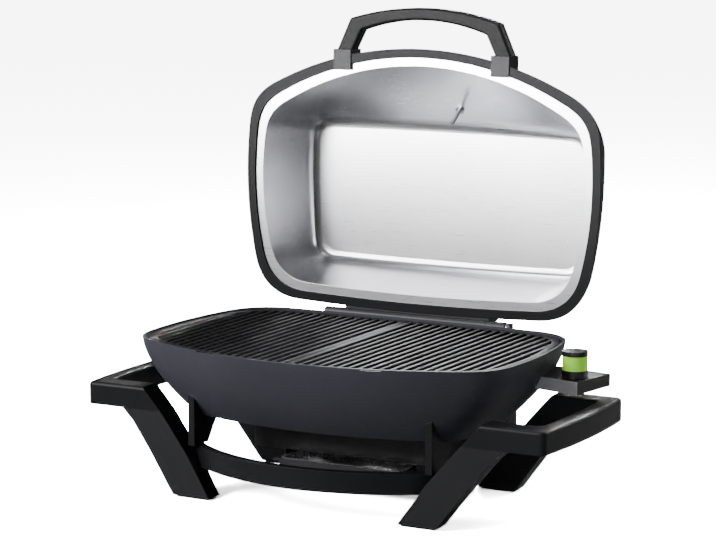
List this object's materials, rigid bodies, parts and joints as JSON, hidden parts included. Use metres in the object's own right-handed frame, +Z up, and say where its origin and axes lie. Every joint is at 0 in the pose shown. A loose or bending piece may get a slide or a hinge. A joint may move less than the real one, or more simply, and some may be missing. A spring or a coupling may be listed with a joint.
{
  "type": "electric barbecue grill",
  "caption": "Countertop electric grill with a hinged domed lid, bowed bowl, cast grids, side carrying leg frames, a thermostat knob and a slide-out drip tray.",
  "frame": {"origin": "on the ground under the middle of the bounding box, as the grill stands with its lid open", "axes": "+X to the right of someone standing in front, +Y to the rear, +Z up"},
  "size_m": [0.7326, 0.516, 0.6717],
  "materials": {
    "bowl_paint": "satin charcoal coating on a casting",
    "lid_paint": "satin black coating",
    "liner_metal": "bright satin bare metal",
    "grid_iron": "matt black enamel",
    "element_metal": "dull heat-darkened sheath",
    "plain_steel": "plain satin sheet",
    "dark_steel": "matt black paint",
    "frame_plastic": "fine-grained black moulding",
    "handle_plastic": "fine-grained dark grey moulding",
    "box_plastic": "fine-grained black moulding",
    "face_silver": "silver-grey satin",
    "knob_black": "polished black",
    "band_green": "translucent green, lit from inside",
    "pad_rubber": "matt black",
    "foil": "bright thin pressed foil",
    "screw_steel": "plated",
    "glass": "clear",
    "dial_white": "matt printed dial",
    "needle_red": "matt",
    "ceramic": "pale heat-proof moulding"
  },
  "bodies": {
    "base": {"bowl": "bowl_paint", "heat_reflector": "plain_steel", "heating_element": "element_metal", "element_supports": "plain_steel", "temperature_probe": "plain_steel", "element_flange": "plain_steel", "control_housing": "box_plastic", "control_cover": "box_plastic", "control_face": "face_silver", "power_inlet": "box_plastic", "thermostat_switch": "ceramic", "terminal_block": "ceramic", "control_screws": "screw_steel", "leg_frame_left": "frame_plastic", "leg_frame_right": "frame_plastic", "foot_pads": "pad_rubber", "front_crossbar": "frame_plastic", "rear_crossbar": "frame_plastic", "front_bowl_props": "frame_plastic", "rear_bowl_props": "frame_plastic", "heat_shield": "dark_steel", "grease_chute": "dark_steel", "tray_rails": "dark_steel", "hinge_pins": "screw_steel", "hinge_bracket_left": "dark_steel", "hinge_bracket_right": "dark_steel", "hinge_bracket_screws": "screw_steel", "leg_screws": "screw_steel"},
    "lid": {"lid_shell": "lid_paint", "lid_liner": "liner_metal", "hinge_bridge": "dark_steel", "hinge_leaf_screws": "screw_steel", "lid_handle": "handle_plastic", "handle_bracket_left": "frame_plastic", "handle_bracket_right": "frame_plastic", "gauge_case": "screw_steel", "gauge_dial": "dial_white", "gauge_lens": "glass", "gauge_stem": "plain_steel", "gauge_nut": "screw_steel"},
    "needle": {"gauge_needle": "needle_red"},
    "knob": {"knob_skirt": "knob_black", "knob_light_band": "band_green", "knob_core": "knob_black", "knob_cap": "knob_black", "knob_spindle": "plain_steel"},
    "grid_left": {"cooking_grid_left": "grid_iron"},
    "grid_right": {"cooking_grid_right": "grid_iron"},
    "tray": {"drip_tray": "dark_steel", "drip_pan": "foil"}
  },
  "joints": [
    {"name": "lid_hinge", "type": "hinge", "parent": "base", "child": "lid", "pos_m": [0, 0.13718, 0.2185], "axis": [1, 0, 0], "range_deg": [0, 91.75]},
    {"name": "gauge_needle_turn", "type": "hinge", "parent": "lid", "child": "needle", "pos_m": [0.03, 0.23319, 0.52851], "axis": [0, 0.8166, 0.5771], "range_deg": [-270, 0]},
    {"name": "knob_turn", "type": "hinge", "parent": "base", "child": "knob", "pos_m": [0.31803, -0.00062, 0.1855], "axis": [0, 0, 1], "range_deg": [-270, 0]},
    {"name": "tray_slide", "type": "slide", "parent": "base", "child": "tray", "axis": [0, 1, 0], "range_m": [0, 0.16]},
    {"name": "grid_left_lift", "type": "slide", "parent": "base", "child": "grid_left", "axis": [0, 0, -1], "range_m": [-0.12, 0]},
    {"name": "grid_right_lift", "type": "slide", "parent": "base", "child": "grid_right", "axis": [0, 0, -1], "range_m": [-0.12, 0]}
  ]
}
